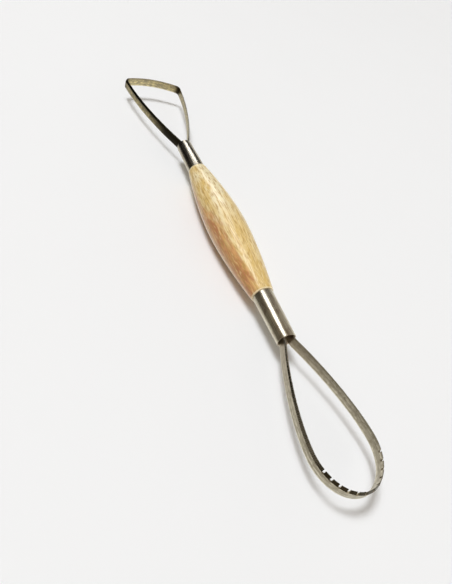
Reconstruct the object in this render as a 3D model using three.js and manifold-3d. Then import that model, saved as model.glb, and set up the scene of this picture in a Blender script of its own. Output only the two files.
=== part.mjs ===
// Double-ended loop tool for trimming and hollowing clay.
// A turned wooden handle carries a steel ferrule at each end. Each ferrule grips the two tangs of
// a bent steel ribbon: a teardrop loop with a toothed end on one side, and a triangular loop with
// a plain sharpened crossbar on the other.
//
// Frame: X runs along the tool, towards the teardrop loop. The loops lie in the XY plane, with
// their sharpened edges up, towards +Z. The origin is the centre of the whole tool's box.
// Lengths are millimetres, angles are degrees.

import * as THREE from 'three';
import { mergeVertices } from 'three/addons/utils/BufferGeometryUtils.js';
import Module from 'manifold-3d';

// Handle
const HANDLE_LENGTH = 90.2;         // wood that shows between the ferrules
const HANDLE_BELLY_RADIUS = 9.75;   // at mid-length
const HANDLE_NECK_RADIUS = 5.2;     // at the shoulder beside each ferrule
const HANDLE_FULLNESS = 1.7;        // power of the swelling: 2 would be a plain parabola
const HANDLE_EDGE_RADIUS = 0.4;     // rounded rim where the wood meets the ferrule
const TENON_LENGTH = 15;            // wood inside each ferrule
const TENON_CHAMFER = 0.8;

// Ferrules: short drawn tubes, a little narrower at the mouth
const FERRULE_LENGTH = 24.2;
const FERRULE_WOOD_RADIUS = 4.8;    // outside, at the wood
const FERRULE_MOUTH_RADIUS = 4.32;  // outside, at the mouth
const FERRULE_WALL = 0.4;
const FERRULE_LIP_RADIUS = 0.14;    // broken edges at both ends

// Ribbon steel, the same strip in both loops
const RIBBON_WIDTH = 5.0;           // along Z
const RIBBON_THICKNESS = 0.8;
const RIBBON_EDGE_LAND = 0.14;      // thickness left at the sharpened edge
const BEVEL_HEIGHT = 1.75;          // sharpening bevel on the outside of the upper edge
const TANG_BREAK = 0.25;            // small chamfer where the bevel has run out, at the tangs
const BEVEL_RUN_OUT = 16;           // distance from the mouth over which the bevel grows
const TANG_LENGTH = 17;             // ribbon inside the ferrule
const ROOT_BEND_REACH = 1.1;        // length taken by the bend on each side of its corner

// Teeth of the teardrop loop: square notches across the bevel
const TOOTH_COUNT = 11;
const TOOTH_PITCH = 3.3;
const NOTCH_WIDTH = 0.8;
const NOTCH_DEPTH = 1.65;

// Teardrop loop, measured on the middle of the ribbon
const ROUND_LENGTH = 62;            // ferrule mouth to the end of the loop
const ROUND_HALF_WIDTH = 14.2;
const ROUND_END_REACH = 16.4;       // from the widest place to the end
const ROUND_ROOT_ANGLE = 24;        // spread of each leg as it leaves the ferrule
const ROUND_ROOT_REACH = 14.5;      // how long the leg holds that direction
const ROUND_BELLY_REACH = 12;       // how early it settles to the widest place

// Triangular loop, measured on the middle of the ribbon
const TRIANGLE_LENGTH = 71;         // ferrule mouth to the corners
const TRIANGLE_HALF_WIDTH = 18.9;
const TRIANGLE_LEG_BULGE = 2.7;     // how far each leg bows out from a straight line
const TRIANGLE_BAR_BULGE = 3.9;     // how far the crossbar bows out past the corners
const TRIANGLE_CORNER_REACH = 2.4;  // length taken by the corner bend on each side

// Fits
const TENON_CLEARANCE = 0.1;        // wood to the ferrule's bore
const TANG_CLEARANCE = 0.15;        // tang corners to the ferrule's bore
const TANG_FLAT_CLEARANCE = 0.12;   // tang to the flat that it lies on
const SHOULDER_GAP = 0.05;          // ferrule to the handle's shoulder

// Facets
const HANDLE_FACETS = 28;
const HANDLE_STEPS = 11;
const RIM_STEPS = 3;
const FERRULE_FACETS = 48;
const LEG_STEPS = 22;
const BEND_STEPS = 6;
const END_STEPS = 18;
const BAR_STEPS = 20;

const halfWidth = RIBBON_WIDTH / 2;
const halfThickness = RIBBON_THICKNESS / 2;
const shoulder = HANDLE_LENGTH / 2;
const ferruleStart = shoulder + SHOULDER_GAP;
const mouth = ferruleStart + FERRULE_LENGTH;
const mouthBore = FERRULE_MOUTH_RADIUS - FERRULE_WALL;
const tangOuterSide = Math.sqrt((mouthBore - TANG_CLEARANCE) ** 2 - halfWidth ** 2);
const tangSide = tangOuterSide - halfThickness;
const flatSide = tangSide - halfThickness - TANG_FLAT_CLEARANCE;

const wasm = await Module();
wasm.setup();

const finishes = {
  wood: { color: 0xd9b27c, roughness: 0.35, metalness: 0 },
  ferruleSteel: { color: 0x9c968a, roughness: 0.22, metalness: 1 },
  ribbonSteel: { color: 0x8d8670, roughness: 0.38, metalness: 1 },
};

// A closed geometry as a solid that can be joined and cut.
function toSolid(geometry) {
  const bare = geometry.clone();
  bare.deleteAttribute('normal');
  bare.deleteAttribute('uv');
  const merged = mergeVertices(bare, 1e-5);
  return new wasm.Manifold(new wasm.Mesh({
    numProp: 3,
    vertProperties: new Float32Array(merged.attributes.position.array),
    triVerts: new Uint32Array(merged.index.array),
  }));
}

// A solid back as a geometry.
function toGeometry(solid) {
  const mesh = solid.getMesh();
  const geometry = new THREE.BufferGeometry();
  geometry.setAttribute('position', new THREE.BufferAttribute(mesh.vertProperties, 3));
  geometry.setIndex(new THREE.BufferAttribute(mesh.triVerts, 1));
  geometry.computeVertexNormals();
  return geometry;
}

// A named piece with its own material.
function piece(name, geometry, finish) {
  const mesh = new THREE.Mesh(geometry, new THREE.MeshStandardMaterial(finish));
  mesh.name = name;
  return mesh;
}

// Revolves a profile of (radius, distance along X) points about the X axis.
function turned(profile, facets) {
  const lathe = new THREE.LatheGeometry(profile, facets);
  const axisToX = new THREE.Matrix4().set(
    0, 1, 0, 0,
    0, 0, 1, 0,
    1, 0, 0, 0,
    0, 0, 0, 1,
  );
  return lathe.applyMatrix4(axisToX);
}

// The ferrule's outside radius at a distance from its wood end.
function ferruleRadius(distance) {
  return THREE.MathUtils.lerp(FERRULE_WOOD_RADIUS, FERRULE_MOUTH_RADIUS, distance / FERRULE_LENGTH);
}

// The handle's radius at a distance from mid-length: a spindle, full at the belly.
function handleRadius(distance) {
  const swell = HANDLE_BELLY_RADIUS - HANDLE_NECK_RADIUS;
  return HANDLE_BELLY_RADIUS - swell * (Math.abs(distance) / shoulder) ** HANDLE_FULLNESS;
}

// Half of the handle's profile, from mid-length to the end of the tenon.
function handleHalfProfile() {
  const points = [];
  const rimStart = shoulder - HANDLE_EDGE_RADIUS;
  for (let i = 0; i <= HANDLE_STEPS; i++) {
    const x = rimStart * i / HANDLE_STEPS;
    points.push([handleRadius(x), x]);
  }
  const rimRadius = handleRadius(rimStart);
  for (let i = 1; i <= RIM_STEPS; i++) {
    const turn = Math.PI / 2 * i / RIM_STEPS;
    points.push([
      rimRadius - HANDLE_EDGE_RADIUS * (1 - Math.cos(turn)),
      rimStart + HANDLE_EDGE_RADIUS * Math.sin(turn),
    ]);
  }
  const tenonRadius = (distance) => ferruleRadius(distance) - FERRULE_WALL - TENON_CLEARANCE;
  const tenonEnd = shoulder + TENON_LENGTH;
  const chamferStart = TENON_LENGTH - TENON_CHAMFER;
  points.push([tenonRadius(0), shoulder]);
  points.push([tenonRadius(chamferStart), shoulder + chamferStart]);
  points.push([tenonRadius(TENON_LENGTH) - TENON_CHAMFER, tenonEnd]);
  return points;
}

// The block that cuts one flat on a tenon, for a tang to lie on.
function flatCutter(end, side) {
  const start = mouth - TANG_LENGTH - TANG_CLEARANCE;
  const length = shoulder + TENON_LENGTH - start + TENON_CHAMFER;
  const block = new THREE.BoxGeometry(length, HANDLE_BELLY_RADIUS, 2 * HANDLE_BELLY_RADIUS);
  block.translate(end * (start + length / 2), side * (flatSide + HANDLE_BELLY_RADIUS / 2), 0);
  return toSolid(block);
}

// The turned handle, with a tenon at each end and two flats on each tenon.
function handle() {
  const half = handleHalfProfile();
  const last = half[half.length - 1];
  const profile = [new THREE.Vector2(0, -last[1])];
  for (const [radius, x] of half.slice(1).reverse()) profile.push(new THREE.Vector2(radius, -x));
  for (const [radius, x] of half) profile.push(new THREE.Vector2(radius, x));
  profile.push(new THREE.Vector2(0, last[1]));
  let solid = toSolid(turned(profile, HANDLE_FACETS));
  for (const end of [-1, 1]) {
    for (const side of [-1, 1]) solid = solid.subtract(flatCutter(end, side));
  }
  return toGeometry(solid);
}

// A ferrule: an open tapered tube with broken edges, its mouth towards +X for end = 1.
function ferrule(end) {
  const lip = FERRULE_LIP_RADIUS;
  const outer = (distance) => ferruleRadius(distance);
  const inner = (distance) => ferruleRadius(distance) - FERRULE_WALL;
  const section = [
    [inner(lip), lip],
    [inner(0) + lip, 0],
    [outer(0) - lip, 0],
    [outer(lip), lip],
    [outer(FERRULE_LENGTH - lip), FERRULE_LENGTH - lip],
    [outer(FERRULE_LENGTH) - lip, FERRULE_LENGTH],
    [inner(FERRULE_LENGTH) + lip, FERRULE_LENGTH],
    [inner(FERRULE_LENGTH - lip), FERRULE_LENGTH - lip],
  ];
  const profile = section.map(([radius, distance]) => (
    new THREE.Vector2(radius, end * (ferruleStart + distance))
  ));
  if (end < 0) profile.reverse();
  profile.push(profile[0].clone());
  return turned(profile, FERRULE_FACETS);
}

// One bend of the ribbon: a curve that rounds the corner between two directions.
function bend(corner, before, after, reach) {
  return new THREE.QuadraticBezierCurve(
    corner.clone().addScaledVector(before, -reach),
    corner,
    corner.clone().addScaledVector(after, reach),
  );
}

// The straight tang and its bend at the ferrule's mouth, up to where the leg sets off.
function tangAndBend(legDirection) {
  const alongTool = new THREE.Vector2(1, 0);
  const corner = new THREE.Vector2(mouth + ROOT_BEND_REACH, tangSide);
  const rootBend = bend(corner, alongTool, legDirection, ROOT_BEND_REACH);
  const tang = new THREE.LineCurve(new THREE.Vector2(mouth - TANG_LENGTH, tangSide), rootBend.v0);
  return [[tang, 1], [rootBend, BEND_STEPS]];
}

// Half of the teardrop: leg from the ferrule to the widest place, then a quarter of an ellipse.
function teardropHalf() {
  const angle = THREE.MathUtils.degToRad(ROUND_ROOT_ANGLE);
  const direction = new THREE.Vector2(Math.cos(angle), Math.sin(angle));
  const root = tangAndBend(direction);
  const start = root[1][0].v2;
  const widest = new THREE.Vector2(mouth + ROUND_LENGTH - ROUND_END_REACH, ROUND_HALF_WIDTH);
  const leg = new THREE.CubicBezierCurve(
    start,
    start.clone().addScaledVector(direction, ROUND_ROOT_REACH),
    widest.clone().sub(new THREE.Vector2(ROUND_BELLY_REACH, 0)),
    widest,
  );
  const end = new THREE.EllipseCurve(
    widest.x, 0, ROUND_END_REACH, ROUND_HALF_WIDTH, Math.PI / 2, 0, true,
  );
  return [...root, [leg, LEG_STEPS], [end, END_STEPS]];
}

// Half of the triangle: a bowed leg, a rounded corner and half of the bowed crossbar.
function triangleHalf() {
  const corner = new THREE.Vector2(mouth + TRIANGLE_LENGTH, TRIANGLE_HALF_WIDTH);
  const foot = new THREE.Vector2(mouth + ROOT_BEND_REACH, tangSide);
  const chord = corner.clone().sub(foot).normalize();
  const outward = new THREE.Vector2(-chord.y, chord.x);
  const control = foot.clone().lerp(corner, 0.5).addScaledVector(outward, 2 * TRIANGLE_LEG_BULGE);
  const legStart = control.clone().sub(foot).normalize();
  const legEnd = corner.clone().sub(control).normalize();
  const root = tangAndBend(legStart);
  const barControl = new THREE.Vector2(corner.x + 2 * TRIANGLE_BAR_BULGE, 0);
  const barStart = barControl.clone().sub(corner).normalize();
  const cornerBend = bend(corner, legEnd, barStart, TRIANGLE_CORNER_REACH);
  const leg = new THREE.QuadraticBezierCurve(root[1][0].v2, control, cornerBend.v0);
  const middle = cornerBend.v2.clone().add(barControl).multiplyScalar(0.5);
  const barTop = new THREE.Vector2(middle.x, 0);
  const bar = new THREE.QuadraticBezierCurve(
    cornerBend.v2,
    new THREE.Vector2(barTop.x, middle.y),
    barTop,
  );
  return [...root, [leg, LEG_STEPS], [cornerBend, BEND_STEPS], [bar, BAR_STEPS]];
}

// Stations along one half: place, direction and distance from the start of the tang.
function stationsOf(half) {
  const stations = [];
  let travelled = 0;
  for (const [curve, steps] of half) {
    const length = curve.getLength();
    for (let i = stations.length ? 1 : 0; i <= steps; i++) {
      const place = curve.getPointAt(i / steps);
      const direction = curve.getTangentAt(i / steps);
      stations.push({ place, direction, distance: travelled + length * i / steps });
    }
    travelled += length;
  }
  return stations;
}

// Both halves, from the end of one tang round the loop to the end of the other.
function wholeLoop(half) {
  const first = stationsOf(half);
  const total = first[first.length - 1].distance;
  const mirrored = first.slice(0, -1).reverse().map(({ place, direction, distance }) => ({
    place: new THREE.Vector2(place.x, -place.y),
    direction: new THREE.Vector2(-direction.x, direction.y),
    distance: 2 * total - distance,
  }));
  return { stations: [...first, ...mirrored], total: 2 * total };
}

// The ribbon's section at a station: how far each corner lies outward, and its height.
function ribbonSection(fromTangEnd) {
  const grown = THREE.MathUtils.smoothstep(fromTangEnd - TANG_LENGTH, 0, BEVEL_RUN_OUT);
  const height = THREE.MathUtils.lerp(TANG_BREAK, BEVEL_HEIGHT, grown);
  const edge = THREE.MathUtils.lerp(RIBBON_THICKNESS - TANG_BREAK, RIBBON_EDGE_LAND, grown);
  return [
    [-halfThickness, -halfWidth],
    [halfThickness, -halfWidth],
    [halfThickness, halfWidth - height],
    [edge - halfThickness, halfWidth],
    [-halfThickness, halfWidth],
  ];
}

// Sweeps the ribbon's section along the stations and closes both ends.
function sweptRibbon({ stations, total }) {
  const corners = ribbonSection(0).length;
  const positions = [];
  for (const { place, direction, distance } of stations) {
    const outward = new THREE.Vector2(-direction.y, direction.x);
    for (const [out, height] of ribbonSection(Math.min(distance, total - distance))) {
      const corner = place.clone().addScaledVector(outward, out);
      positions.push(corner.x, corner.y, height);
    }
  }
  const triangles = [];
  for (let i = 0; i + 1 < stations.length; i++) {
    for (let j = 0; j < corners; j++) {
      const next = (j + 1) % corners;
      const a = i * corners + j;
      const b = i * corners + next;
      triangles.push(a, b, a + corners, b, b + corners, a + corners);
    }
  }
  const end = (stations.length - 1) * corners;
  for (let j = 1; j + 1 < corners; j++) {
    triangles.push(0, j + 1, j);
    triangles.push(end, end + j, end + j + 1);
  }
  const geometry = new THREE.BufferGeometry();
  geometry.setAttribute('position', new THREE.Float32BufferAttribute(positions, 3));
  geometry.setIndex(triangles);
  return geometry;
}

// The station at a distance along the loop, between two of the given ones.
function stationAt({ stations }, distance) {
  const after = stations.findIndex((station) => station.distance >= distance);
  const low = stations[Math.max(after - 1, 0)];
  const high = stations[after];
  const share = (distance - low.distance) / Math.max(high.distance - low.distance, 1e-9);
  return {
    place: low.place.clone().lerp(high.place, share),
    direction: low.direction.clone().lerp(high.direction, share).normalize(),
  };
}

// Cuts square notches across a loop's bevel, evenly spaced about the middle of its end.
function toothed(solid, loop) {
  let cut = solid;
  for (let i = 0; i <= TOOTH_COUNT; i++) {
    const distance = loop.total / 2 + (i - TOOTH_COUNT / 2) * TOOTH_PITCH;
    const { place, direction } = stationAt(loop, distance);
    const notch = new THREE.BoxGeometry(NOTCH_WIDTH, 4 * RIBBON_THICKNESS, 2 * NOTCH_DEPTH);
    notch.rotateZ(Math.atan2(direction.y, direction.x));
    notch.translate(place.x, place.y, halfWidth);
    cut = cut.subtract(toSolid(notch));
  }
  return cut;
}

const tool = new THREE.Group();
tool.add(piece('handle', handle(), finishes.wood));
tool.add(piece('ferrule_round_end', ferrule(1), finishes.ferruleSteel));
tool.add(piece('ferrule_triangle_end', ferrule(-1), finishes.ferruleSteel));

const teardrop = wholeLoop(teardropHalf());
const roundLoop = toothed(toSolid(sweptRibbon(teardrop)), teardrop);
tool.add(piece('loop_round', toGeometry(roundLoop), finishes.ribbonSteel));

const triangle = toSolid(sweptRibbon(wholeLoop(triangleHalf())));
const triangleLoop = piece('loop_triangle', toGeometry(triangle), finishes.ribbonSteel);
triangleLoop.rotation.z = Math.PI;
tool.add(triangleLoop);

// Places the origin at the centre of the tool's length.
const box = new THREE.Box3().setFromObject(tool);
tool.position.x = -(box.min.x + box.max.x) / 2;

export default tool;
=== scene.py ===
"""The looks of a double-ended loop tool for clay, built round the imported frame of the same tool.

A varnished hardwood handle carries a polished ferrule at each end, and each ferrule grips the two
tangs of a ribbon of satin steel with a ground edge: a teardrop loop with notches in its edge at one
end, and a triangular loop with a plain edge at the other. Lengths are metres in the part's frame: X
runs along the tool towards the teardrop loop, the loops lie in the XY plane, and Z is up.
"""

import logging
import math
from abc import ABC, abstractmethod
from bisect import bisect_right
from dataclasses import dataclass
from enum import Enum
from functools import partial, reduce

import bmesh
import bpy
from mathutils import Matrix, Vector
from mathutils.geometry import interpolate_bezier


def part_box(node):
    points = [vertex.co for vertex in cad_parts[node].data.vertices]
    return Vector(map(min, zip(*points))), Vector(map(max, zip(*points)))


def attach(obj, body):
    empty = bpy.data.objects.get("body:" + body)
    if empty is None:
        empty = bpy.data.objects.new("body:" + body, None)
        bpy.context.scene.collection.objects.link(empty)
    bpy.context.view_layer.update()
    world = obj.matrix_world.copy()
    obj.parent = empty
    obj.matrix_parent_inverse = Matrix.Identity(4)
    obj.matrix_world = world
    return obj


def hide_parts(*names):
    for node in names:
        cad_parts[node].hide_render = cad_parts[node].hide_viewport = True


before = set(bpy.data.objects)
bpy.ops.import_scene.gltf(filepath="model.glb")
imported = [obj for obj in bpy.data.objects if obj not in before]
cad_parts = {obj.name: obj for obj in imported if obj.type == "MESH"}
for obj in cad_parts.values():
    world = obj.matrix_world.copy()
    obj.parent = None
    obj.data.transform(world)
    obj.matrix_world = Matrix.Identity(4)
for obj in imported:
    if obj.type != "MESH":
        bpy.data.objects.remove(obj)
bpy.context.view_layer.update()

log = logging.getLogger("loop_tool")

Color = tuple[float, float, float]
Direction = tuple[float, float, float]
Span = tuple[float, float]
Socket = bpy.types.NodeSocket
Material = bpy.types.Material
Shape = bmesh.types.BMesh
Rings = list[list[bmesh.types.BMVert]]

MM = 0.001
SAME_PLACE = 1e-4 * MM
FULL_TURN = 2 * math.pi
BODY = "root"
ALONG_TOOL = (1, 0, 0)
ACROSS_TOOL = (0, 1, 0)
UP = (0, 0, 1)


class End(Enum):
    """An end of the tool, valued by the side of the handle's middle that it lies on."""

    ROUND = 1
    TRIANGLE = -1


class Slot(Enum):
    """The record's material slots."""

    WOOD = "handle_wood"
    FERRULE = "ferrule_steel"
    RIBBON = "ribbon_steel"


@dataclass(frozen=True)
class Grain:
    """A noise, given by its cells per metre along X, Y and Z, its finer layers and its distortion."""

    per_metre: tuple[float, float, float]
    detail: float = 3
    distortion: float = 0


@dataclass(frozen=True)
class Grade:
    """A value that goes from one number to another between two levels of a noise."""

    grain: Grain
    levels: Span
    values: Span = (0, 1)


@dataclass(frozen=True)
class Fade:
    """A value that goes from one number to another between two distances along a direction."""

    direction: Direction
    reach: Span
    values: Span = (0, 1)


class NodeTree:
    """A node tree under construction, with short ways to add and join nodes."""

    def __init__(self, owner: Material | bpy.types.World, coordinates: str) -> None:
        """Opens the node tree of a material or a world.

        Args:
            owner: what the tree belongs to.
            coordinates: the coordinates that its patterns follow.
        """
        owner.use_nodes = True
        self.tree = owner.node_tree
        self.place = self.tree.nodes.new("ShaderNodeTexCoord").outputs[coordinates]
        self.noises: dict[Grain, Socket] = {}

    def node(self, kind: str, settings: dict | None = None, inputs: dict | None = None) -> bpy.types.Node:
        """Adds a node.

        Args:
            kind: the node's type name, without its ShaderNode prefix.
            settings: properties to set on the node.
            inputs: values to set on its sockets, or sockets to join to them, by name or number.

        Returns:
            The new node.
        """
        made = self.tree.nodes.new("ShaderNode" + kind)
        for key, value in (settings or {}).items():
            setattr(made, key, value)
        for key, value in (inputs or {}).items():
            if isinstance(value, Socket):
                self.tree.links.new(value, made.inputs[key])
            else:
                made.inputs[key].default_value = value
        return made

    def along(self, direction: Direction) -> Socket:
        """Returns how far each place lies in a direction."""
        made = self.node("VectorMath", {"operation": "DOT_PRODUCT"}, {0: self.place, 1: direction})
        return made.outputs["Value"]

    def math(self, operation: str, first: Socket, second: Socket) -> Socket:
        """Returns the outcome of an operation on two values."""
        return self.node("Math", {"operation": operation}, {0: first, 1: second}).outputs["Value"]

    def product(self, *values: Socket) -> Socket:
        """Returns the product of two or more values."""
        return reduce(partial(self.math, "MULTIPLY"), values)

    def noise(self, grain: Grain) -> Socket:
        """Gives a noise, which is added where it is first asked for.

        Args:
            grain: the noise.

        Returns:
            Its level at each place, from 0 to 1.
        """
        if grain not in self.noises:
            mapping = self.node("Mapping", inputs={"Vector": self.place, "Scale": grain.per_metre})
            made = self.node("TexNoise", inputs={
                "Vector": mapping.outputs["Vector"], "Scale": 1.0,
                "Detail": grain.detail, "Distortion": grain.distortion,
            })
            self.noises[grain] = made.outputs["Fac"]
        return self.noises[grain]

    def remap(self, value: Socket, source: Span, target: Span) -> Socket:
        """Moves a value from one range to another, and keeps it in that range.

        Args:
            value: the value to move.
            source: the range that it is read from.
            target: the range that it is moved to.

        Returns:
            The moved value.
        """
        made = self.node("MapRange", inputs={
            "Value": value, "From Min": source[0], "From Max": source[1],
            "To Min": target[0], "To Max": target[1],
        })
        return made.outputs["Result"]

    def grade(self, grade: Grade) -> Socket:
        """Returns the value that a noise is turned into."""
        return self.remap(self.noise(grade.grain), grade.levels, grade.values)

    def fade(self, fade: Fade, shift: Socket | None = None) -> Socket:
        """Adds a value that changes along a direction.

        Args:
            fade: how it changes.
            shift: a distance to add to each place's own, for a change that wanders.

        Returns:
            The value.
        """
        distance = self.along(fade.direction)
        if shift is not None:
            distance = self.math("ADD", distance, shift)
        return self.remap(distance, fade.reach, fade.values)

    def blend(self, factor: Socket, low: Color | Socket, high: Color | Socket) -> Socket:
        """Mixes two colours.

        Args:
            factor: how much of the second colour there is.
            low: the colour where the factor is 0.
            high: the colour where the factor is 1.

        Returns:
            The mixed colour.
        """
        made = self.node("Mix", {"data_type": "RGBA"})
        sockets = {socket.identifier: socket for socket in made.inputs}
        self.tree.links.new(factor, sockets["Factor_Float"])
        for name, color in (("A_Color", low), ("B_Color", high)):
            if isinstance(color, Socket):
                self.tree.links.new(color, sockets[name])
            else:
                sockets[name].default_value = (*color, 1)
        return next(socket for socket in made.outputs if socket.identifier == "Result_Color")


class MaterialTree(NodeTree):
    """A material under construction."""

    def __init__(self, name: str) -> None:
        """Starts a material that holds one Principled shader.

        Args:
            name: the material's name.
        """
        self.material = bpy.data.materials.new(name)
        super().__init__(self.material, "Object")
        self.shader = self.tree.nodes["Principled BSDF"]

    def bump(self, height: Socket, depth: float) -> Socket:
        """Returns the normal bumped by a height, of which 1 stands for the depth in metres."""
        made = self.node("Bump", inputs={"Height": height, "Distance": depth, "Strength": 1.0})
        return made.outputs["Normal"]

    def set(self, **values: float | Color | Socket) -> None:
        """Sets the shader's sockets.

        Args:
            values: numbers, colours or sockets, by socket name with _ for a space.
        """
        for key, value in values.items():
            socket = self.shader.inputs[key.replace("_", " ")]
            if isinstance(value, Socket):
                self.tree.links.new(value, socket)
            elif isinstance(value, tuple):
                socket.default_value = (*value, 1)
            else:
                socket.default_value = value

    def set_metal(self, color: Socket, roughness: Grade, depth: float) -> None:
        """Makes the shader a metal, scored to a depth by the noise that its roughness follows."""
        scored = self.bump(self.noise(roughness.grain), depth)
        self.set(Base_Color=color, Metallic=1.0, Roughness=self.grade(roughness), Normal=scored)


@dataclass(frozen=True)
class VarnishedWood:
    """Hardwood under a clear gloss varnish: pale sapwood on one side and red-brown on the lower side,
    which is partly heartwood and partly painted shade, with a painted broad highlight on the upper side
    and painted highlights at the rims.
    """

    cream: Color = (0.88, 0.72, 0.39)
    sap: Color = (0.72, 0.515, 0.18)
    heart: Color = (0.70, 0.385, 0.155)
    rust: Color = (0.49, 0.185, 0.08)
    # Paler wood under a painted broad highlight on the upper side.
    ivory_and_sheen: Color = (0.95, 0.88, 0.62)
    fleck: Color = (0.46, 0.27, 0.07)
    # Painted highlight where the wood's rims catch the light.
    rim_highlight: Color = (0.90, 0.80, 0.55)
    drift: Grade = Grade(Grain((40, 190, 190), 4, 0.7), (0.25, 0.75), (-4.5 * MM, 4.5 * MM))
    # The red-brown lower side: partly heartwood and partly painted shade.
    heartwood_and_shade_side: Fade = Fade((0.065, -0.80, -0.60), (3.1 * MM, 5.8 * MM))
    ivory_sheen_side: Fade = Fade((-0.09, -0.20, 0.98), (6.8 * MM, 9.4 * MM), (0, 0.85))
    ivory_sheen_half: Fade = Fade(ALONG_TOOL, (-4 * MM, 22 * MM), (1, 0))
    figure: Grade = Grade(Grain((70, 560, 560), 4, 1), (0.40, 0.60))
    patches: Grade = Grade(Grain((110, 620, 620), 3, 0.5), (0.42, 0.56), (0, 0.95))
    flecks: Grade = Grade(Grain((170, 1500, 1500), 2), (0.49, 0.65), (0, 0.78))
    pores: Grade = Grade(flecks.grain, (0.50, 0.75), (1, 0))
    glints: Grade = Grade(Grain((210, 1250, 1250), 1.5), (0.56, 0.70), (0, 0.55))
    fibres: Grade = Grade(Grain((110, 4200, 4200), 2), (0.30, 0.68), (0.30, 0))
    painted_rim_highlights: tuple[Fade, ...] = (
        Fade(ALONG_TOOL, (-37.5 * MM, -37.9 * MM), (0, 0.7)),
        Fade(ALONG_TOOL, (51.0 * MM, 51.4 * MM), (0, 0.7)),
    )
    ripple: Grain = Grain((120, 420, 420))
    pore_depth: float = 0.02 * MM
    ripple_depth: float = 0.035 * MM
    wood_roughness: float = 0.5
    varnish: float = 0.85
    varnish_index: float = 1.37
    varnish_roughness: float = 0.13

    def material(self) -> Material:
        """Makes the wood: two tones of timber, the red-brown lower side partly painted shade, a painted
        broad highlight on the upper side, painted highlights at the rims, long figure, short flecks and
        fibres, and a clear coat.

        Returns:
            The material.
        """
        tree = MaterialTree("varnished_wood")
        wander = tree.grade(self.drift)
        sapwood = tree.blend(tree.grade(self.figure), self.cream, self.sap)
        heartwood = tree.blend(tree.grade(self.patches), self.heart, self.rust)
        # Red-brown on the lower side: partly heartwood and partly painted shade.
        color = tree.blend(tree.fade(self.heartwood_and_shade_side, wander), sapwood, heartwood)
        # Painted broad highlight: ivory on the upper side of the far half, over paler wood there.
        lit = tree.product(tree.fade(self.ivory_sheen_half), tree.fade(self.ivory_sheen_side, wander))
        color = tree.blend(lit, color, self.ivory_and_sheen)
        strokes = ((self.flecks, self.fleck), (self.glints, self.cream), (self.fibres, self.fleck))
        for stroke, tone in strokes:
            color = tree.blend(tree.grade(stroke), color, tone)
        # Painted highlights: a pale ring at each rim of the wood, where it catches the light.
        for rim in self.painted_rim_highlights:
            color = tree.blend(tree.fade(rim), color, self.rim_highlight)
        tree.set(
            Base_Color=color, Roughness=self.wood_roughness,
            Normal=tree.bump(tree.grade(self.pores), self.pore_depth),
            Coat_Weight=self.varnish, Coat_IOR=self.varnish_index, Coat_Roughness=self.varnish_roughness,
            Coat_Normal=tree.bump(tree.noise(self.ripple), self.ripple_depth),
        )
        return tree.material


@dataclass(frozen=True)
class PolishedTube:
    """Nickel-plated tube, drawn and polished along its length."""

    bright: Color = (0.66, 0.63, 0.53)
    wear_and_reflection: Color = (0.40, 0.33, 0.265)
    clouds: Grade = Grade(Grain((220, 520, 520), 4, 0.8), (0.44, 0.64), (0, 0.75))
    lines: Grade = Grade(Grain((25, 2400, 2400), 4), (0.45, 0.70), (0, 0.45))
    scratches: Grade = Grade(Grain((900, 5200, 5200), 1), (0.55, 0.75), (0, 0.3))
    roughness: Grade = Grade(lines.grain, (0.3, 0.7), (0.18, 0.31))
    line_depth: float = 0.006 * MM

    def material(self) -> Material:
        """Makes the plating: cloudy patches, lengthwise draw lines and fine random scratches.

        Returns:
            The material.
        """
        tree = MaterialTree("polished_ferrule")
        color = self.bright
        for wear in (self.clouds, self.lines, self.scratches):
            color = tree.blend(tree.grade(wear), color, self.wear_and_reflection)
        tree.set_metal(color, self.roughness, self.line_depth)
        return tree.material


@dataclass(frozen=True)
class RawTubeInside:
    """The dull, unpolished inside of the tube."""

    pale: Color = (0.97, 0.88, 0.78)
    dark: Color = (0.72, 0.61, 0.51)
    clouds: Grade = Grade(Grain((500, 900, 900)), (0.35, 0.65))
    metallic: float = 0.1
    roughness: float = 0.5

    def material(self) -> Material:
        """Makes the inside: a cloudy grey-brown film that hides most of the metal.

        Returns:
            The material.
        """
        tree = MaterialTree("raw_tube_inside")
        color = tree.blend(tree.grade(self.clouds), self.pale, self.dark)
        tree.set(Base_Color=color, Metallic=self.metallic, Roughness=self.roughness)
        return tree.material


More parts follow.
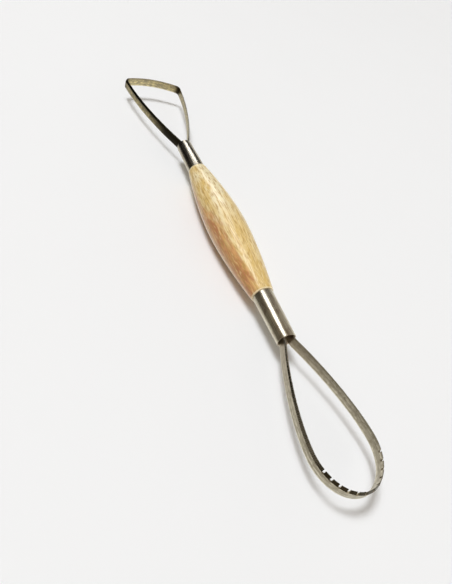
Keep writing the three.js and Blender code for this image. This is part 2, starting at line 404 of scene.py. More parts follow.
@dataclass(frozen=True)
class SatinRibbon:
    """Rolled spring-steel strip with a satin face, brushed lengthwise, with a painted warm reflection that
    makes it brass-toned towards the triangle end.
    """

    pale: Color = (0.665, 0.62, 0.515)
    dark: Color = (0.26, 0.228, 0.17)
    brass: Color = (0.84, 0.71, 0.345)
    brown: Color = (0.27, 0.22, 0.16)
    # Pale tone for the painted reflection of the table along the lower edge.
    wear_and_reflection: Color = (0.86, 0.83, 0.72)
    # Near black for the painted shadow at the triangle's corners and the painted shade by the far ferrule.
    near_black: Color = (0.03, 0.024, 0.012)
    # Painted warm reflection: brass-toned towards the triangle end.
    painted_warm_reflection: Fade = Fade(ALONG_TOOL, (-30 * MM, 60 * MM), (0.85, 0))
    clouds: Grade = Grade(Grain((520, 520, 900), 5, 0.6), (0.38, 0.62), (0, 0.85))
    stripes: Grade = Grade(Grain((14, 14, 1250), 2), (0.46, 0.54), (0, 0.5))
    brushing: Grade = Grade(Grain((50, 50, 5200)), (0.42, 0.70), (0, 0.4))
    roughness: Grade = Grade(brushing.grain, (0.25, 0.75), (0.26, 0.42))
    brush_depth: float = 0.007 * MM
    round_end: Fade = Fade(ALONG_TOOL, (0, 10 * MM))
    round_root: Fade = Fade(ALONG_TOOL, (74 * MM, 104 * MM), (0.8, 0))
    upper_edge: Fade = Fade(UP, (1.2 * MM, 2.3 * MM), (0, 0.55))
    lower_edge_reflection: Fade = Fade(UP, (-1.9 * MM, -2.35 * MM), (0, 0.7))
    # Painted shadow at the triangle's corners.
    corner_shadow_band: Span = (15.2 * MM, 17.6 * MM)
    corner_shadow_end: Fade = Fade(ALONG_TOOL, (-128.5 * MM, -131.5 * MM), (0, 0.85))
    triangle_end_shade: Fade = Fade(ALONG_TOOL, (0, 10 * MM), (1, 0))
    # Painted shade on the -Y leg of the triangle, next to the far ferrule.
    painted_shade_end: Fade = Fade(ALONG_TOOL, (-98 * MM, -77 * MM))
    painted_shade_side: Fade = Fade(ACROSS_TOOL, (-1 * MM, -3 * MM))

    def material(self) -> Material:
        """Makes the strip: brush lines at constant height, cloudy oxide, browner near the round loop's
        root and darker towards the upper edge, with painted light: a warm reflection towards the triangle
        end, a reflection of the table along the lower edge, a shadow at the triangle's corners and shade
        on one leg by the far ferrule.

        Returns:
            The material.
        """
        tree = MaterialTree("satin_ribbon")
        # Painted warm reflection: brass-toned towards the triangle end.
        color = tree.blend(tree.fade(self.painted_warm_reflection), self.pale, self.brass)
        for oxide in (self.clouds, self.stripes, self.brushing):
            color = tree.blend(tree.grade(oxide), color, self.dark)
        root = tree.product(tree.fade(self.round_root), tree.fade(self.round_end))
        color = tree.blend(root, color, self.brown)
        color = tree.blend(tree.fade(self.upper_edge), color, self.dark)
        # Painted reflection of the pale table: paler towards the lower edge.
        color = tree.blend(tree.fade(self.lower_edge_reflection), color, self.wear_and_reflection)
        # Painted shadow: near black at the triangle's two corners.
        across = tree.along(ACROSS_TOOL)
        squares = tuple(side ** 2 for side in self.corner_shadow_band)
        either_side = tree.remap(tree.product(across, across), squares, (0, 1))
        color = tree.blend(tree.product(either_side, tree.fade(self.corner_shadow_end)), color, self.near_black)
        # Painted shade: near black on the -Y leg of the triangle, next to the far ferrule.
        painted_shade = tree.product(*map(tree.fade, (self.painted_shade_end, self.painted_shade_side, self.triangle_end_shade)))
        color = tree.blend(painted_shade, color, self.near_black)
        tree.set_metal(color, self.roughness, self.brush_depth)
        return tree.material


@dataclass(frozen=True)
class GroundBevel:
    """The ground face of the ribbon's cutting edge."""

    bright: Color = (0.52, 0.49, 0.42)
    dark: Color = (0.25, 0.23, 0.19)
    # Near black for the painted dark reflection towards the triangle end, and for the darker teeth.
    near_black: Color = (0.045, 0.036, 0.018)
    heat: Grade = Grade(Grain((240, 240, 240)), (0.35, 0.65), (0.15, 0.85))
    triangle_end_shade: Fade = Fade(ALONG_TOOL, (-30 * MM, 60 * MM), (0.93, 0))
    teeth: Fade = Fade(ALONG_TOOL, (123.5 * MM, 127.5 * MM), (0, 0.93))
    roughness: Grade = Grade(Grain((3600, 3600, 160), 2), (0.3, 0.7), (0.2, 0.36))
    grind_depth: float = 0.008 * MM

    def material(self) -> Material:
        """Makes the bevel: short grinding marks that run up to the edge, darker at the teeth, and near
        black towards the triangle end as a painted dark reflection.

        Returns:
            The material.
        """
        tree = MaterialTree("ground_bevel")
        color = tree.blend(tree.grade(self.heat), self.bright, self.dark)
        # Painted dark reflection: near black towards the triangle end. Darker at the teeth.
        for end_darkening in (self.triangle_end_shade, self.teeth):
            color = tree.blend(tree.fade(end_darkening), color, self.near_black)
        tree.set_metal(color, self.roughness, self.grind_depth)
        return tree.material


@dataclass(frozen=True)
class PaleFloor:
    """The matt white board that the tool lies on."""

    color: Color = (0.855, 0.874, 0.908)
    shade: float = 0.985
    mottle: Grain = Grain((9, 9, 9), 2)
    roughness: float = 0.75

    def material(self) -> Material:
        """Makes the board, with a very faint mottle.

        Returns:
            The material.
        """
        tree = MaterialTree("pale_floor")
        shaded = tuple(self.shade * channel for channel in self.color)
        color = tree.blend(tree.noise(self.mottle), self.color, shaded)
        tree.set(Base_Color=color, Roughness=self.roughness)
        return tree.material


@dataclass(frozen=True)
class BackdropGlow:
    """A plain, even glow."""

    color: Color = (0.90, 0.90, 0.90)

    def material(self) -> Material:
        """Makes the glow.

        Returns:
            The material.
        """
        tree = MaterialTree("pale_backdrop")
        tree.set(Base_Color=(0.0, 0.0, 0.0), Roughness=1.0)
        tree.set(Emission_Color=self.color, Emission_Strength=1.0)
        return tree.material


@dataclass(frozen=True)
class MirroredRoom:
    """The room that the metal mirrors: a pale table, a black wall at the far end and dim surroundings."""

    table: Color = (0.66, 0.64, 0.58)
    table_below: Color = (1.0, 0.98, 0.90)
    camera_side: Color = (0.165, 0.145, 0.112)
    other_side: Color = (0.40, 0.36, 0.305)
    ceiling: Color = (0.27, 0.225, 0.16)
    far_wall: Color = (0.005, 0.004, 0.003)
    near_wall: Color = (0.42, 0.35, 0.26)
    table_up: Direction = (0.0, -0.46, 0.887)
    table_edge: Span = (-0.16, -0.05)
    table_dip: Fade = Fade(ACROSS_TOOL, (-0.60, -0.76), (0, 0.22))
    below_to_level: Span = (-0.62, -0.30)
    level_to_above: Span = (0.50, 0.95)
    side_to_side: Fade = Fade(ACROSS_TOOL, (0.05, 0.45))
    far_to_room: Fade = Fade(ALONG_TOOL, (-0.70, -0.46))
    room_to_near: Fade = Fade(ALONG_TOOL, (0.30, 0.60))

    def world(self) -> bpy.types.World:
        """Paints the room on a world, where a direction's parts stand for distances.

        Returns:
            The world.
        """
        world = bpy.data.worlds.new("room")
        sky = NodeTree(world, "Generated")
        rise = sky.along(self.table_up)
        table = sky.blend(sky.remap(rise, self.below_to_level, (0, 1)), self.table_below, self.table)
        room = sky.blend(sky.fade(self.side_to_side), self.camera_side, self.other_side)
        room = sky.blend(sky.remap(rise, self.level_to_above, (0, 1)), room, self.ceiling)
        room = sky.blend(sky.fade(self.far_to_room), self.far_wall, room)
        room = sky.blend(sky.fade(self.room_to_near), room, self.near_wall)
        height = sky.math("ADD", rise, sky.fade(self.table_dip))
        color = sky.blend(sky.remap(height, self.table_edge, (0, 1)), table, room)
        sky.tree.links.new(color, sky.tree.nodes["Background"].inputs["Color"])
        return world


def add_object(name: str, data: bpy.types.ID) -> bpy.types.Object:
    """Adds an object to the scene, at the origin.

    Args:
        name: the object's name.
        data: its mesh, light or camera.

    Returns:
        The new object.
    """
    made = bpy.data.objects.new(name, data)
    bpy.context.scene.collection.objects.link(made)
    return made


def make_piece(name: str, shape: Shape, finishes: list[Material], crease: float = 30) -> bpy.types.Object:
    """Turns a bmesh into an object at the origin, smooth but for its creases and changes of finish.

    Args:
        name: the piece's name.
        shape: the shape, which is used up.
        finishes: the materials that its faces choose from.
        crease: the angle in degrees past which an edge stays sharp.

    Returns:
        The new object.
    """
    bmesh.ops.recalc_face_normals(shape, faces=shape.faces)
    for face in shape.faces:
        face.smooth = True
    for edge in shape.edges:
        numbers = {face.material_index for face in edge.link_faces}
        edge.smooth = len(numbers) == 1 and edge.calc_face_angle(0) < math.radians(crease)
    mesh = bpy.data.meshes.new(name)
    shape.to_mesh(mesh)
    shape.free()
    for finish in finishes:
        mesh.materials.append(finish)
    return add_object(name, mesh)


def spin_outline(outline: list[Span], facets: int, closed: bool) -> Shape:
    """Spins an outline round the tool's axis.

    Args:
        outline: places along X with their radius, in order.
        facets: how many facets the round has.
        closed: whether the outline's last point joins its first.

    Returns:
        The turned shape.
    """
    turned = bmesh.new()
    points = [turned.verts.new((x, radius, 0)) for x, radius in outline]
    pairs = list(zip(points, points[1:]))
    if closed:
        pairs.append((points[-1], points[0]))
    edges = [turned.edges.new(pair) for pair in pairs]
    bmesh.ops.spin(
        turned, geom=points + edges, cent=(0, 0, 0), axis=ALONG_TOOL, angle=FULL_TURN,
        steps=facets, use_merge=True,
    )
    bmesh.ops.remove_doubles(turned, verts=turned.verts, dist=SAME_PLACE)
    return turned


def quadratic(start: Vector, control: Vector, stop: Vector, steps: int) -> list[Vector]:
    """Returns the points of a quadratic curve, drawn as the cubic of the same shape."""
    near, far = (point.lerp(control, 2 / 3) for point in (start, stop))
    return interpolate_bezier(start, near, far, stop, steps + 1)


def rounded_corner(corner: Vector, before: Vector, after: Vector, reach: float,
                   steps: int) -> list[Vector]:
    """Returns a bend round a corner from one direction to another, with the same reach on each side."""
    return quadratic(corner - before * reach, corner, corner + after * reach, steps)


def eased(share: float) -> float:
    """Returns a share kept between 0 and 1, and eased at both."""
    share = min(max(share, 0.0), 1.0)
    return share * share * (3 - 2 * share)


@dataclass
class ToolSizes:
    """The sizes that every sub-assembly shares, most of them read from the frame.

    A ferrule reaches from the shoulder to the mouth, both measured from the handle's middle.
    """

    middle: float
    shoulder: float
    mouth: float
    ferrule_wood_radius: float
    belly_radius: float
    ribbon_half_width: float
    ferrule_mouth_radius: float = 4.32 * MM
    ferrule_wall: float = 0.4 * MM
    tang_length: float = 17 * MM

    @classmethod
    def from_frame(cls) -> "ToolSizes":
        """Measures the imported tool.

        Returns:
            Its sizes.
        """
        handle_low, handle_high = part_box("handle")
        ferrule_low, ferrule_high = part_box("ferrule_round_end")
        middle = (handle_low.x + handle_high.x) / 2
        return cls(
            middle=middle,
            shoulder=ferrule_low.x - middle,
            mouth=ferrule_high.x - middle,
            ferrule_wood_radius=ferrule_high.z,
            belly_radius=handle_high.z,
            ribbon_half_width=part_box("loop_round")[1].z,
        )

    def ferrule_radius(self, distance: float) -> float:
        """Returns a ferrule's outside radius at a distance from its wood end."""
        share = distance / (self.mouth - self.shoulder)
        return self.ferrule_wood_radius + share * (self.ferrule_mouth_radius - self.ferrule_wood_radius)


@dataclass
class TurnedHandle:
    """The turned wooden handle, with a tenon at each end that is flatted for the tangs.

    Attributes:
        fullness: the power of the swelling, of which 2 would be a plain parabola.
        softness: how much of the belly that power is softened over, as a share of half the handle.
    """

    sizes: ToolSizes
    wood: Material
    neck_radius: float = 5.2 * MM
    fullness: float = 1.7
    softness: float = 0.1
    rim_radius: float = 0.45 * MM
    rim_steps: int = 6
    shoulder_gap: float = 0.05 * MM
    tenon_length: float = 15 * MM
    tenon_chamfer: float = 0.8 * MM
    tenon_clearance: float = 0.1 * MM
    flat_side: float = 1.9 * MM
    flat_clearance: float = 0.15 * MM
    steps: int = 72
    facets: int = 128
    crease: float = 32

    def radius(self, distance: float) -> float:
        """Gives the handle's radius: a spindle that is full at the belly.

        Args:
            distance: how far from mid-length.

        Returns:
            The radius there.
        """
        share = abs(distance) / (self.sizes.shoulder - self.shoulder_gap)
        power = self.fullness / 2
        least = self.softness ** self.fullness
        most = (1 + self.softness ** 2) ** power
        fallen = ((share ** 2 + self.softness ** 2) ** power - least) / (most - least)
        return self.sizes.belly_radius - (self.sizes.belly_radius - self.neck_radius) * fallen

    def half_outline(self) -> list[Span]:
        """Draws the outline from mid-length to the end of a tenon.

        Returns:
            Distances from mid-length with their radius.
        """
        end = self.sizes.shoulder - self.shoulder_gap
        start = end - self.rim_radius
        places = [start * i / self.steps for i in range(self.steps + 1)]
        points = [(place, self.radius(place)) for place in places]
        neck = self.radius(start)
        for i in range(1, self.rim_steps + 1):
            turn = FULL_TURN / 4 * i / self.rim_steps
            points.append((
                start + self.rim_radius * math.sin(turn),
                neck - self.rim_radius * (1 - math.cos(turn)),
            ))
        inset = self.sizes.ferrule_wall + self.tenon_clearance
        foot = self.tenon_length - self.tenon_chamfer
        for distance, cut in ((0, 0), (foot, 0), (self.tenon_length, self.tenon_chamfer)):
            points.append((end + distance, self.sizes.ferrule_radius(distance) - inset - cut))
        return points

    def cut_flat(self, turned: Shape, end: End, side: int) -> None:
        """Cuts one flat along a tenon, for a tang to lie on, and closes the step at its start.

        Args:
            turned: the handle, about its own middle.
            end: the end that the tenon is at.
            side: the side of the flat, 1 or -1 for +Y or -Y.
        """
        start = self.sizes.mouth - self.sizes.tang_length - self.flat_clearance
        step = Vector((end.value * start, 0, 0))
        outward = end.value * Vector(ALONG_TOOL)

        def past_step(face: bmesh.types.BMFace) -> bool:
            """Returns whether a face lies past the flat's start."""
            return (face.calc_center_median() - step).dot(outward) > 0

        whole = [*turned.verts, *turned.edges, *turned.faces]
        bmesh.ops.bisect_plane(turned, geom=whole, plane_co=step, plane_no=outward)
        tenon = [face for face in turned.faces if past_step(face)]
        parts = {part for face in tenon for part in (face, *face.edges, *face.verts)}
        flat = Vector((0, side * self.flat_side, 0))
        bmesh.ops.bisect_plane(turned, geom=list(parts), plane_co=flat, plane_no=(0, side, 0))
        shaved = [
            face for face in turned.faces
            if past_step(face) and side * face.calc_center_median().y > self.flat_side
        ]
        bmesh.ops.delete(turned, geom=shaved, context="FACES")
        rims = [edge for edge in turned.edges if edge.is_boundary]
        at_step = [
            edge for edge in rims if all(abs((vert.co - step).x) < SAME_PLACE for vert in edge.verts)
        ]
        along_flat = [edge for edge in rims if edge not in at_step]
        step_verts, flat_verts = (
            {vert for edge in part for vert in edge.verts} for part in (at_step, along_flat)
        )
        sill = turned.edges.new(list(step_verts & flat_verts))
        bmesh.ops.contextual_create(turned, geom=[*at_step, sill])
        bmesh.ops.contextual_create(turned, geom=[*along_flat, sill])

    def build(self) -> bpy.types.Object:
        """Builds, dresses and places the handle.

        Returns:
            The handle.
        """
        half = self.half_outline()
        tip = half[-1][0]
        mirrored = [(-place, radius) for place, radius in reversed(half[1:])]
        turned = spin_outline([(-tip, 0), *mirrored, *half, (tip, 0)], self.facets, closed=False)
        for end in End:
            for side in (1, -1):
                self.cut_flat(turned, end, side)
        bmesh.ops.translate(turned, vec=(self.sizes.middle, 0, 0), verts=turned.verts)
        made = make_piece("turned_handle", turned, [self.wood], self.crease)
        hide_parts("handle")
        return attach(made, BODY)


@dataclass
class DrawnFerrule:
    """One ferrule: a short tapered tube with rolled lips."""

    sizes: ToolSizes
    end: End
    outside: Material
    inside: Material
    lip_radius: float = 0.15 * MM
    lip_steps: int = 4
    facets: int = 128
    crease: float = 50

    def outline(self) -> list[Span]:
        """Draws the wall's closed outline.

        Returns:
            Distances from the handle's middle with their radius.
        """
        length = self.sizes.mouth - self.sizes.shoulder
        wall = self.sizes.ferrule_wall
        wood = self.sizes.ferrule_radius(0)
        mouth = self.sizes.ferrule_radius(length)
        section = ((0, wood - wall), (0, wood), (length, mouth), (length, mouth - wall))
        corners = [Vector(corner) for corner in section]
        points: list[Vector] = []
        for i, corner in enumerate(corners):
            before = (corner - corners[i - 1]).normalized()
            after = (corners[(i + 1) % len(corners)] - corner).normalized()
            points += rounded_corner(corner, before, after, self.lip_radius, self.lip_steps)
        return [(self.sizes.shoulder + point.x, point.y) for point in points]

    def build(self) -> bpy.types.Object:
        """Builds, dresses and places the ferrule.

        Returns:
            The ferrule.
        """
        node = "ferrule_round_end" if self.end is End.ROUND else "ferrule_triangle_end"
        outline = [(self.sizes.middle + self.end.value * x, radius) for x, radius in self.outline()]
        turned = spin_outline(outline, self.facets, closed=True)
        made = make_piece("polished_" + node, turned, [self.outside, self.inside], self.crease)
        inside_reach = self.sizes.ferrule_mouth_radius + self.sizes.ferrule_wall / 2
        for face in made.data.polygons:
            from_axis = Vector((0, face.center.y, face.center.z))
            faces_axis = face.normal.dot(from_axis) < 0
            face.material_index = int(faces_axis and from_axis.length < inside_reach)
        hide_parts(node)
        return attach(made, BODY)


@dataclass(frozen=True)
class Station:
    """A place on the middle of the ribbon, with the direction that it runs in."""

    place: Vector
    heading: Vector
    distance: float

    def point(self, outward: float, height: float) -> Vector:
        """Returns a point of the ribbon's section, outward from its middle and up."""
        side = Vector((-self.heading.y, self.heading.x))
        return Vector((*(self.place + side * outward), height))


@dataclass
class RibbonLoop(ABC):
    """A loop of steel ribbon with a ground edge. Its sub-classes say what line it follows.

    Attributes:
        edge_land: the thickness left at the ground edge.
        tang_break: the small chamfer that is left of the bevel at the tangs.
        upright: the most that the normal of an upright face rises.
        notch_corners: how many of the section's first corners frame a notch.
    """

    sizes: ToolSizes
    end: End
    strip: Material
    bevel: Material
    node: str
    thickness: float = 0.8 * MM
    edge_land: float = 0.14 * MM
    bevel_height: float = 1.3 * MM
    bevel_run_out: float = 16 * MM
    tang_break: float = 0.25 * MM
    tang_side: float = 2.42 * MM
    root_bend: float = 1.1 * MM
    notch_depth: float = 1.65 * MM
    rolled_edge: float = 0.1 * MM
    burr: float = 0.03 * MM
    spacing: float = 0.4 * MM
    line_steps: int = 160
    root_steps: int = 20
    crease: float = 30
    upright: float = 0.05
    notch_corners: int = 6

    @abstractmethod
    def half_line(self) -> list[Vector]:
        """Returns one side's middle line, from the bend at the mouth to the tool's axis."""

    def notch_sides(self, total: float) -> list[Span]:
        """Returns where notches start and stop along a ribbon that long: a plain edge has none."""
        return []

    def foot(self) -> Vector:
        """Returns the corner of the ribbon's bend at the ferrule's mouth."""
        return Vector((self.sizes.mouth + self.root_bend, self.tang_side))

    def whole_line(self) -> list[Vector]:
        """Returns the middle line from one tang's end round the loop to the other's."""
        half = [Vector((self.sizes.mouth - self.sizes.tang_length, self.tang_side)), *self.half_line()]
        return half + [Vector((point.x, -point.y)) for point in reversed(half[:-1])]

    def stations(self) -> list[Station]:
        """Sets out the stations of the sweep, with one at each side of each notch.

        Returns:
            The stations, from tang to tang.
        """
        line = self.whole_line()
        travelled = [0.0]
        for a, b in zip(line, line[1:]):
            travelled.append(travelled[-1] + (b - a).length)
        total = travelled[-1]
        marks = [0.0, *sorted(mark for sides in self.notch_sides(total) for mark in sides), total]
        distances = [0.0]
        for low, high in zip(marks, marks[1:]):
            count = math.ceil((high - low) / self.spacing)
            distances += [low + (high - low) * i / count for i in range(1, count + 1)]
        return [self.station_at(line, travelled, distance) for distance in distances]

    def station_at(self, line: list[Vector], travelled: list[float], distance: float) -> Station:
        """Finds the station at a distance along the line.

        Args:
            line: the line's points.
            travelled: how far along the line each point is.
            distance: the distance to find.

        Returns:
            The station there, with a heading taken over a short stretch round it.
        """
        def place_at(at: float) -> Vector:
            """Returns the line's point at a distance.

            Args:
                at: the distance, which is kept on the line.

            Returns:
                The point.
            """
            at = min(max(at, 0.0), travelled[-1])
            low = min(bisect_right(travelled, at), len(travelled) - 1) - 1
            share = (at - travelled[low]) / (travelled[low + 1] - travelled[low])
            return line[low].lerp(line[low + 1], share)

        reach = self.spacing / 2
        heading = (place_at(distance + reach) - place_at(distance - reach)).normalized()
        return Station(place_at(distance), heading, distance)

    def section(self, from_tang_end: float) -> list[Span]:
        """Gives the ribbon's section, which loses its bevel towards the tangs.

        Args:
            from_tang_end: the distance to the nearer tang's end.

        Returns:
            Outward and upward places, from the notch floor on the inner face up over the edge,
            down the outer face and round the lower edge.
        """
        grown = eased((from_tang_end - self.sizes.tang_length) / self.bevel_run_out)
        out = self.thickness / 2
        top = self.sizes.ribbon_half_width
        height = self.tang_break + grown * (self.bevel_height - self.tang_break)
        land = self.thickness - self.tang_break
        land += grown * (self.edge_land - land)
        halfway = self.rolled_edge * (1 - math.sqrt(0.5))
        return [
            (-out, top - self.notch_depth),
            (-out, top - self.burr),
            (-out + self.burr, top),
            (land - out, top),
            (out, top - height),
            (out, top - self.notch_depth),
            (out, self.rolled_edge - top),
            (out - halfway, halfway - top),
            (out - self.rolled_edge, -top),
            (self.rolled_edge - out, -top),
            (halfway - out, halfway - top),
            (-out, self.rolled_edge - top),
        ]

    def sweep(self, stations: list[Station]) -> tuple[Shape, Rings]:
        """Wraps a grid round the ribbon: its columns are the stations and its rows the section's corners.

        Args:
            stations: the stations, from tang to tang.

        Returns:
            The closed ribbon, and its vertices by station and corner.
        """
        total = stations[-1].distance
        sections = [self.section(min(at.distance, total - at.distance)) for at in stations]
        columns = len(stations) - 1
        corners = len(sections[0])
        half_side = 0.5
        sheet = bmesh.new()
        bmesh.ops.create_grid(sheet, x_segments=columns, y_segments=corners, size=half_side)
        rings = [[None] * (corners + 1) for _ in stations]
        for vert in sheet.verts:
            i = round((vert.co.x + half_side) * columns)
            j = round((vert.co.y + half_side) * corners)
            rings[i][j] = vert
            vert.co = stations[i].point(*sections[i][j % corners])
        seam = {ring[corners]: ring[0] for ring in rings}
        bmesh.ops.weld_verts(sheet, targetmap=seam)
        open_ends = [edge for edge in sheet.edges if edge.is_boundary]
        bmesh.ops.holes_fill(sheet, edges=open_ends)
        return sheet, [ring[:corners] for ring in rings]

    def cut_notches(self, sheet: Shape, rings: Rings, stations: list[Station]) -> None:
        """Cuts the square notches through the bevel.

        Args:
            sheet: the closed ribbon.
            rings: its vertices by station and corner.
            stations: the stations.
        """
        for sides in self.notch_sides(stations[-1].distance):
            first, last = (
                min(range(len(stations)), key=lambda i: abs(stations[i].distance - side))
                for side in sides
            )
            framed = [ring[:self.notch_corners] for ring in rings[first:last + 1]]
            inside = {vert for ring in framed for vert in ring}
            faces = [face for face in sheet.faces if all(vert in inside for vert in face.verts)]
            bmesh.ops.delete(sheet, geom=faces, context="FACES_ONLY")
            floor = [
                sheet.edges.get((ring[corner], following[corner]))
                for corner in (0, -1) for ring, following in zip(framed, framed[1:])
            ]
            bmesh.ops.bridge_loops(sheet, edges=floor)
            for wall in (framed[0], framed[-1]):
                bmesh.ops.contextual_create(sheet, geom=wall)
        loose = [edge for edge in sheet.edges if not edge.link_faces]
        bmesh.ops.delete(sheet, geom=loose, context="EDGES")

    def build(self) -> bpy.types.Object:
        """Builds, dresses and places the loop.

        Returns:
            The loop.
        """
        stations = self.stations()
        sheet, rings = self.sweep(stations)
        self.cut_notches(sheet, rings, stations)
        bevel_foot = self.sizes.ribbon_half_width - self.bevel_height
        for face in sheet.faces:
            above = face.calc_center_median().z > bevel_foot
            face.material_index = int(above and abs(face.normal.z) > self.upright)
        turn = Matrix.Rotation(0 if self.end is End.ROUND else math.pi, 4, "Z")
        place = Matrix.Translation((self.sizes.middle, 0, 0)) @ turn
        bmesh.ops.transform(sheet, matrix=place, verts=sheet.verts)
        made = make_piece("ribbon_" + self.node, sheet, [self.strip, self.bevel], self.crease)
        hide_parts(self.node)
        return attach(made, BODY)


@dataclass
class TeardropLoop(RibbonLoop):
    """The teardrop: legs that open from the ferrule, and a toothed half ellipse round the end."""

    reach: float = 62 * MM
    half_width: float = 14.2 * MM
    end_reach: float = 16.4 * MM
    root_angle: float = 24
    root_reach: float = 14.5 * MM
    belly_reach: float = 12 * MM
    bevel_run_out: float = 42 * MM
    teeth: int = 11
    tooth_pitch: float = 3.3 * MM
    notch_width: float = 0.8 * MM

    def notch_sides(self, total: float) -> list[Span]:
        """Returns where each notch starts and stops along a ribbon that long."""
        middles = [total / 2 + (i - self.teeth / 2) * self.tooth_pitch for i in range(self.teeth + 1)]
        return [(middle - self.notch_width / 2, middle + self.notch_width / 2) for middle in middles]

    def half_line(self) -> list[Vector]:
        """Draws the bend at the mouth, the leg to the widest place and a quarter of the ellipse.

        Returns:
            The points of the middle line.
        """
        angle = math.radians(self.root_angle)
        away = Vector((math.cos(angle), math.sin(angle)))
        bend = rounded_corner(self.foot(), Vector((1, 0)), away, self.root_bend, self.root_steps)
        widest = Vector((self.sizes.mouth + self.reach - self.end_reach, self.half_width))
        leg = interpolate_bezier(
            bend[-1], bend[-1] + away * self.root_reach, widest - Vector((self.belly_reach, 0)), widest,
            self.line_steps,
        )
        turns = [FULL_TURN / 4 / self.line_steps * i for i in range(1, self.line_steps + 1)]
        end = [
            Vector((widest.x + self.end_reach * math.sin(turn), self.half_width * math.cos(turn)))
            for turn in turns
        ]
        return [*bend, *leg[1:], *end]


@dataclass
class TriangleLoop(RibbonLoop):
    """The triangle: bowed legs, rounded corners and a bowed crossbar with a plain edge."""

    reach: float = 71 * MM
    half_width: float = 18.88 * MM
    leg_bulge: float = 2.7 * MM
    bar_bulge: float = 3.9 * MM
    corner_reach: float = 2.4 * MM
    corner_steps: int = 40

    def half_line(self) -> list[Vector]:
        """Draws the bend at the mouth, the bowed leg, the corner and half of the crossbar.

        Returns:
            The points of the middle line.
        """
        foot = self.foot()
        corner = Vector((self.sizes.mouth + self.reach, self.half_width))
        chord = (corner - foot).normalized()
        outward = Vector((-chord.y, chord.x))
        leg_control = foot.lerp(corner, 0.5) + outward * 2 * self.leg_bulge
        bar_control = Vector((corner.x + 2 * self.bar_bulge, 0))
        leg_start = (leg_control - foot).normalized()
        leg_end = (corner - leg_control).normalized()
        bar_start = (bar_control - corner).normalized()
        root = rounded_corner(foot, Vector((1, 0)), leg_start, self.root_bend, self.root_steps)
        bend = rounded_corner(corner, leg_end, bar_start, self.corner_reach, self.corner_steps)
        leg = quadratic(root[-1], leg_control, bend[0], self.line_steps)
        middle = bend[-1].lerp(bar_control, 0.5)
        bar = quadratic(bend[-1], middle, Vector((middle.x, 0)), self.line_steps)
        return [*root, *leg[1:], *bend[1:], *bar[1:]]


@dataclass(frozen=True)
class SoftBox:
    """A rectangular light that shows only in reflections, hung in a direction from the origin."""

    name: str
    direction: Direction
    size: Span
    radiance: float
    slant: Direction = (-0.655, 0.669, -0.348)
    distance: float = 1.2

    def hang(self) -> None:
        """Hangs the light, facing the tool."""
        data = bpy.data.lights.new(self.name, "AREA")
        data.shape = "RECTANGLE"
        data.size, data.size_y = self.size
        data.energy = self.radiance * math.pi * self.size[0] * self.size[1]
        back = Vector(self.direction).normalized()
        across = back.cross(Vector(self.slant)).normalized()
        turn = Matrix((across.cross(back), across, back)).transposed().to_4x4()
        light = add_object(self.name, data)
        light.matrix_world = Matrix.Translation(back * self.distance) @ turn
        light.visible_diffuse = False
        light.visible_camera = False


@dataclass(frozen=True)
class DistantLamp:
    """A sun that shows only in what it lights, with its spread in degrees."""

    name: str
    aim: Direction
    power: float
    spread: float
    color: Color = (0.97, 0.985, 1.0)

    def hang(self) -> None:
        """Hangs the lamp and turns it the way it aims."""
        data = bpy.data.lights.new(self.name, "SUN")
        data.energy = self.power
        data.color = self.color
        data.angle = math.radians(self.spread)
        lamp = add_object(self.name, data)
        lamp.rotation_euler = Vector(self.aim).to_track_quat("-Z", "Y").to_euler()
        lamp.visible_glossy = False


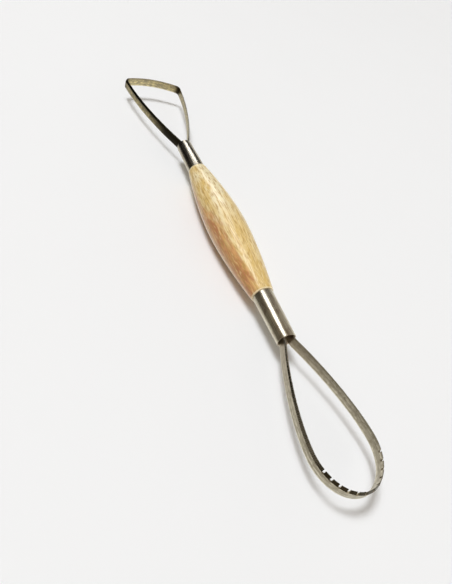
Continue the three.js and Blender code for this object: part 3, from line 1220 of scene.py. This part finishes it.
@dataclass
class Studio:
    """The floor, the backdrop, the mirrored room, the lights and the camera.

    The camera's roll is in degrees, and its lens and sensor are in millimetres.
    """

    floor_height: float
    floor_size: float = 16.0
    backdrop_radius: float = 7.0
    backdrop_facets: int = 32
    camera_place: Direction = (0.14609, -0.10198, 0.12664)
    camera_target: Direction = (0.04811, -0.01701, 0.0)
    camera_roll: float = 26.094
    camera_lens: float = 26.066
    camera_sensor: float = 36
    camera_clip: float = 5 * MM
    lights: tuple[DistantLamp | SoftBox, ...] = (
        DistantLamp("key", aim=(0.40, 0.245, -1.0), power=1.66, spread=16.0),
        DistantLamp("fill", aim=(0.30, 0.22, -1.0), power=0.95, spread=36.0),
        DistantLamp("front", aim=(-1.0, 0.12, -0.24), power=0.50, spread=50.0),
        SoftBox("strip", direction=(-0.36, -0.42, 0.84), size=(0.62, 0.38), radiance=4.2),
        SoftBox("glow", direction=(-0.50, -0.32, 0.80), size=(0.90, 0.68), radiance=0.9),
        SoftBox("window", direction=(-0.82, 0.06, 0.57), size=(0.34, 0.44), radiance=3.6),
    )

    def lay_floor(self) -> None:
        """Lays the floor under the tool, where the metal doesn't mirror it."""
        sheet = bmesh.new()
        bmesh.ops.create_grid(sheet, x_segments=1, y_segments=1, size=self.floor_size / 2)
        bmesh.ops.translate(sheet, vec=(0, 0, self.floor_height), verts=sheet.verts)
        floor = make_piece("floor", sheet, [PaleFloor().material()])
        floor.visible_glossy = False

    def raise_backdrop(self) -> None:
        """Raises a pale dome that only the camera sees."""
        shell = bmesh.new()
        bmesh.ops.create_uvsphere(
            shell, u_segments=self.backdrop_facets, v_segments=self.backdrop_facets // 2,
            radius=self.backdrop_radius,
        )
        dome = make_piece("backdrop", shell, [BackdropGlow().material()])
        for ray in ("diffuse", "glossy", "transmission", "volume_scatter", "shadow"):
            setattr(dome, "visible_" + ray, False)

    def place_camera(self) -> None:
        """Places the camera where the photograph was taken from."""
        data = bpy.data.cameras.new("camera")
        data.lens = self.camera_lens
        data.sensor_width = self.camera_sensor
        data.clip_start = self.camera_clip
        camera = add_object("camera", data)
        place = Vector(self.camera_place)
        aim = (Vector(self.camera_target) - place).to_track_quat("-Z", "Y").to_matrix().to_4x4()
        roll = Matrix.Rotation(math.radians(self.camera_roll), 4, "Z")
        camera.matrix_world = Matrix.Translation(place) @ aim @ roll
        bpy.context.scene.camera = camera

    def build(self) -> None:
        """Sets up the whole stage, and shows colours as they are lit."""
        self.lay_floor()
        self.raise_backdrop()
        bpy.context.scene.world = MirroredRoom().world()
        for light in self.lights:
            light.hang()
        self.place_camera()
        bpy.context.scene.view_settings.view_transform = "Standard"


def main() -> None:
    """Builds the tool and its stage, and reports each piece."""
    logging.basicConfig(level=logging.INFO, format="%(name)s: %(message)s")
    sizes = ToolSizes.from_frame()
    tube = PolishedTube().material()
    inside = RawTubeInside().material()
    strip = SatinRibbon().material()
    bevel = GroundBevel().material()
    assemblies = [
        TurnedHandle(sizes, VarnishedWood().material()),
        DrawnFerrule(sizes, End.ROUND, tube, inside),
        DrawnFerrule(sizes, End.TRIANGLE, tube, inside),
        TeardropLoop(sizes, End.ROUND, strip, bevel, "loop_round"),
        TriangleLoop(sizes, End.TRIANGLE, strip, bevel, "loop_triangle"),
    ]
    for assembly in assemblies:
        made = assembly.build()
        log.info("%s: %d faces, %.1f mm long", made.name, len(made.data.polygons), made.dimensions.x / MM)
    Studio(floor_height=-sizes.belly_radius).build()


if __name__ == "__main__":
    main()
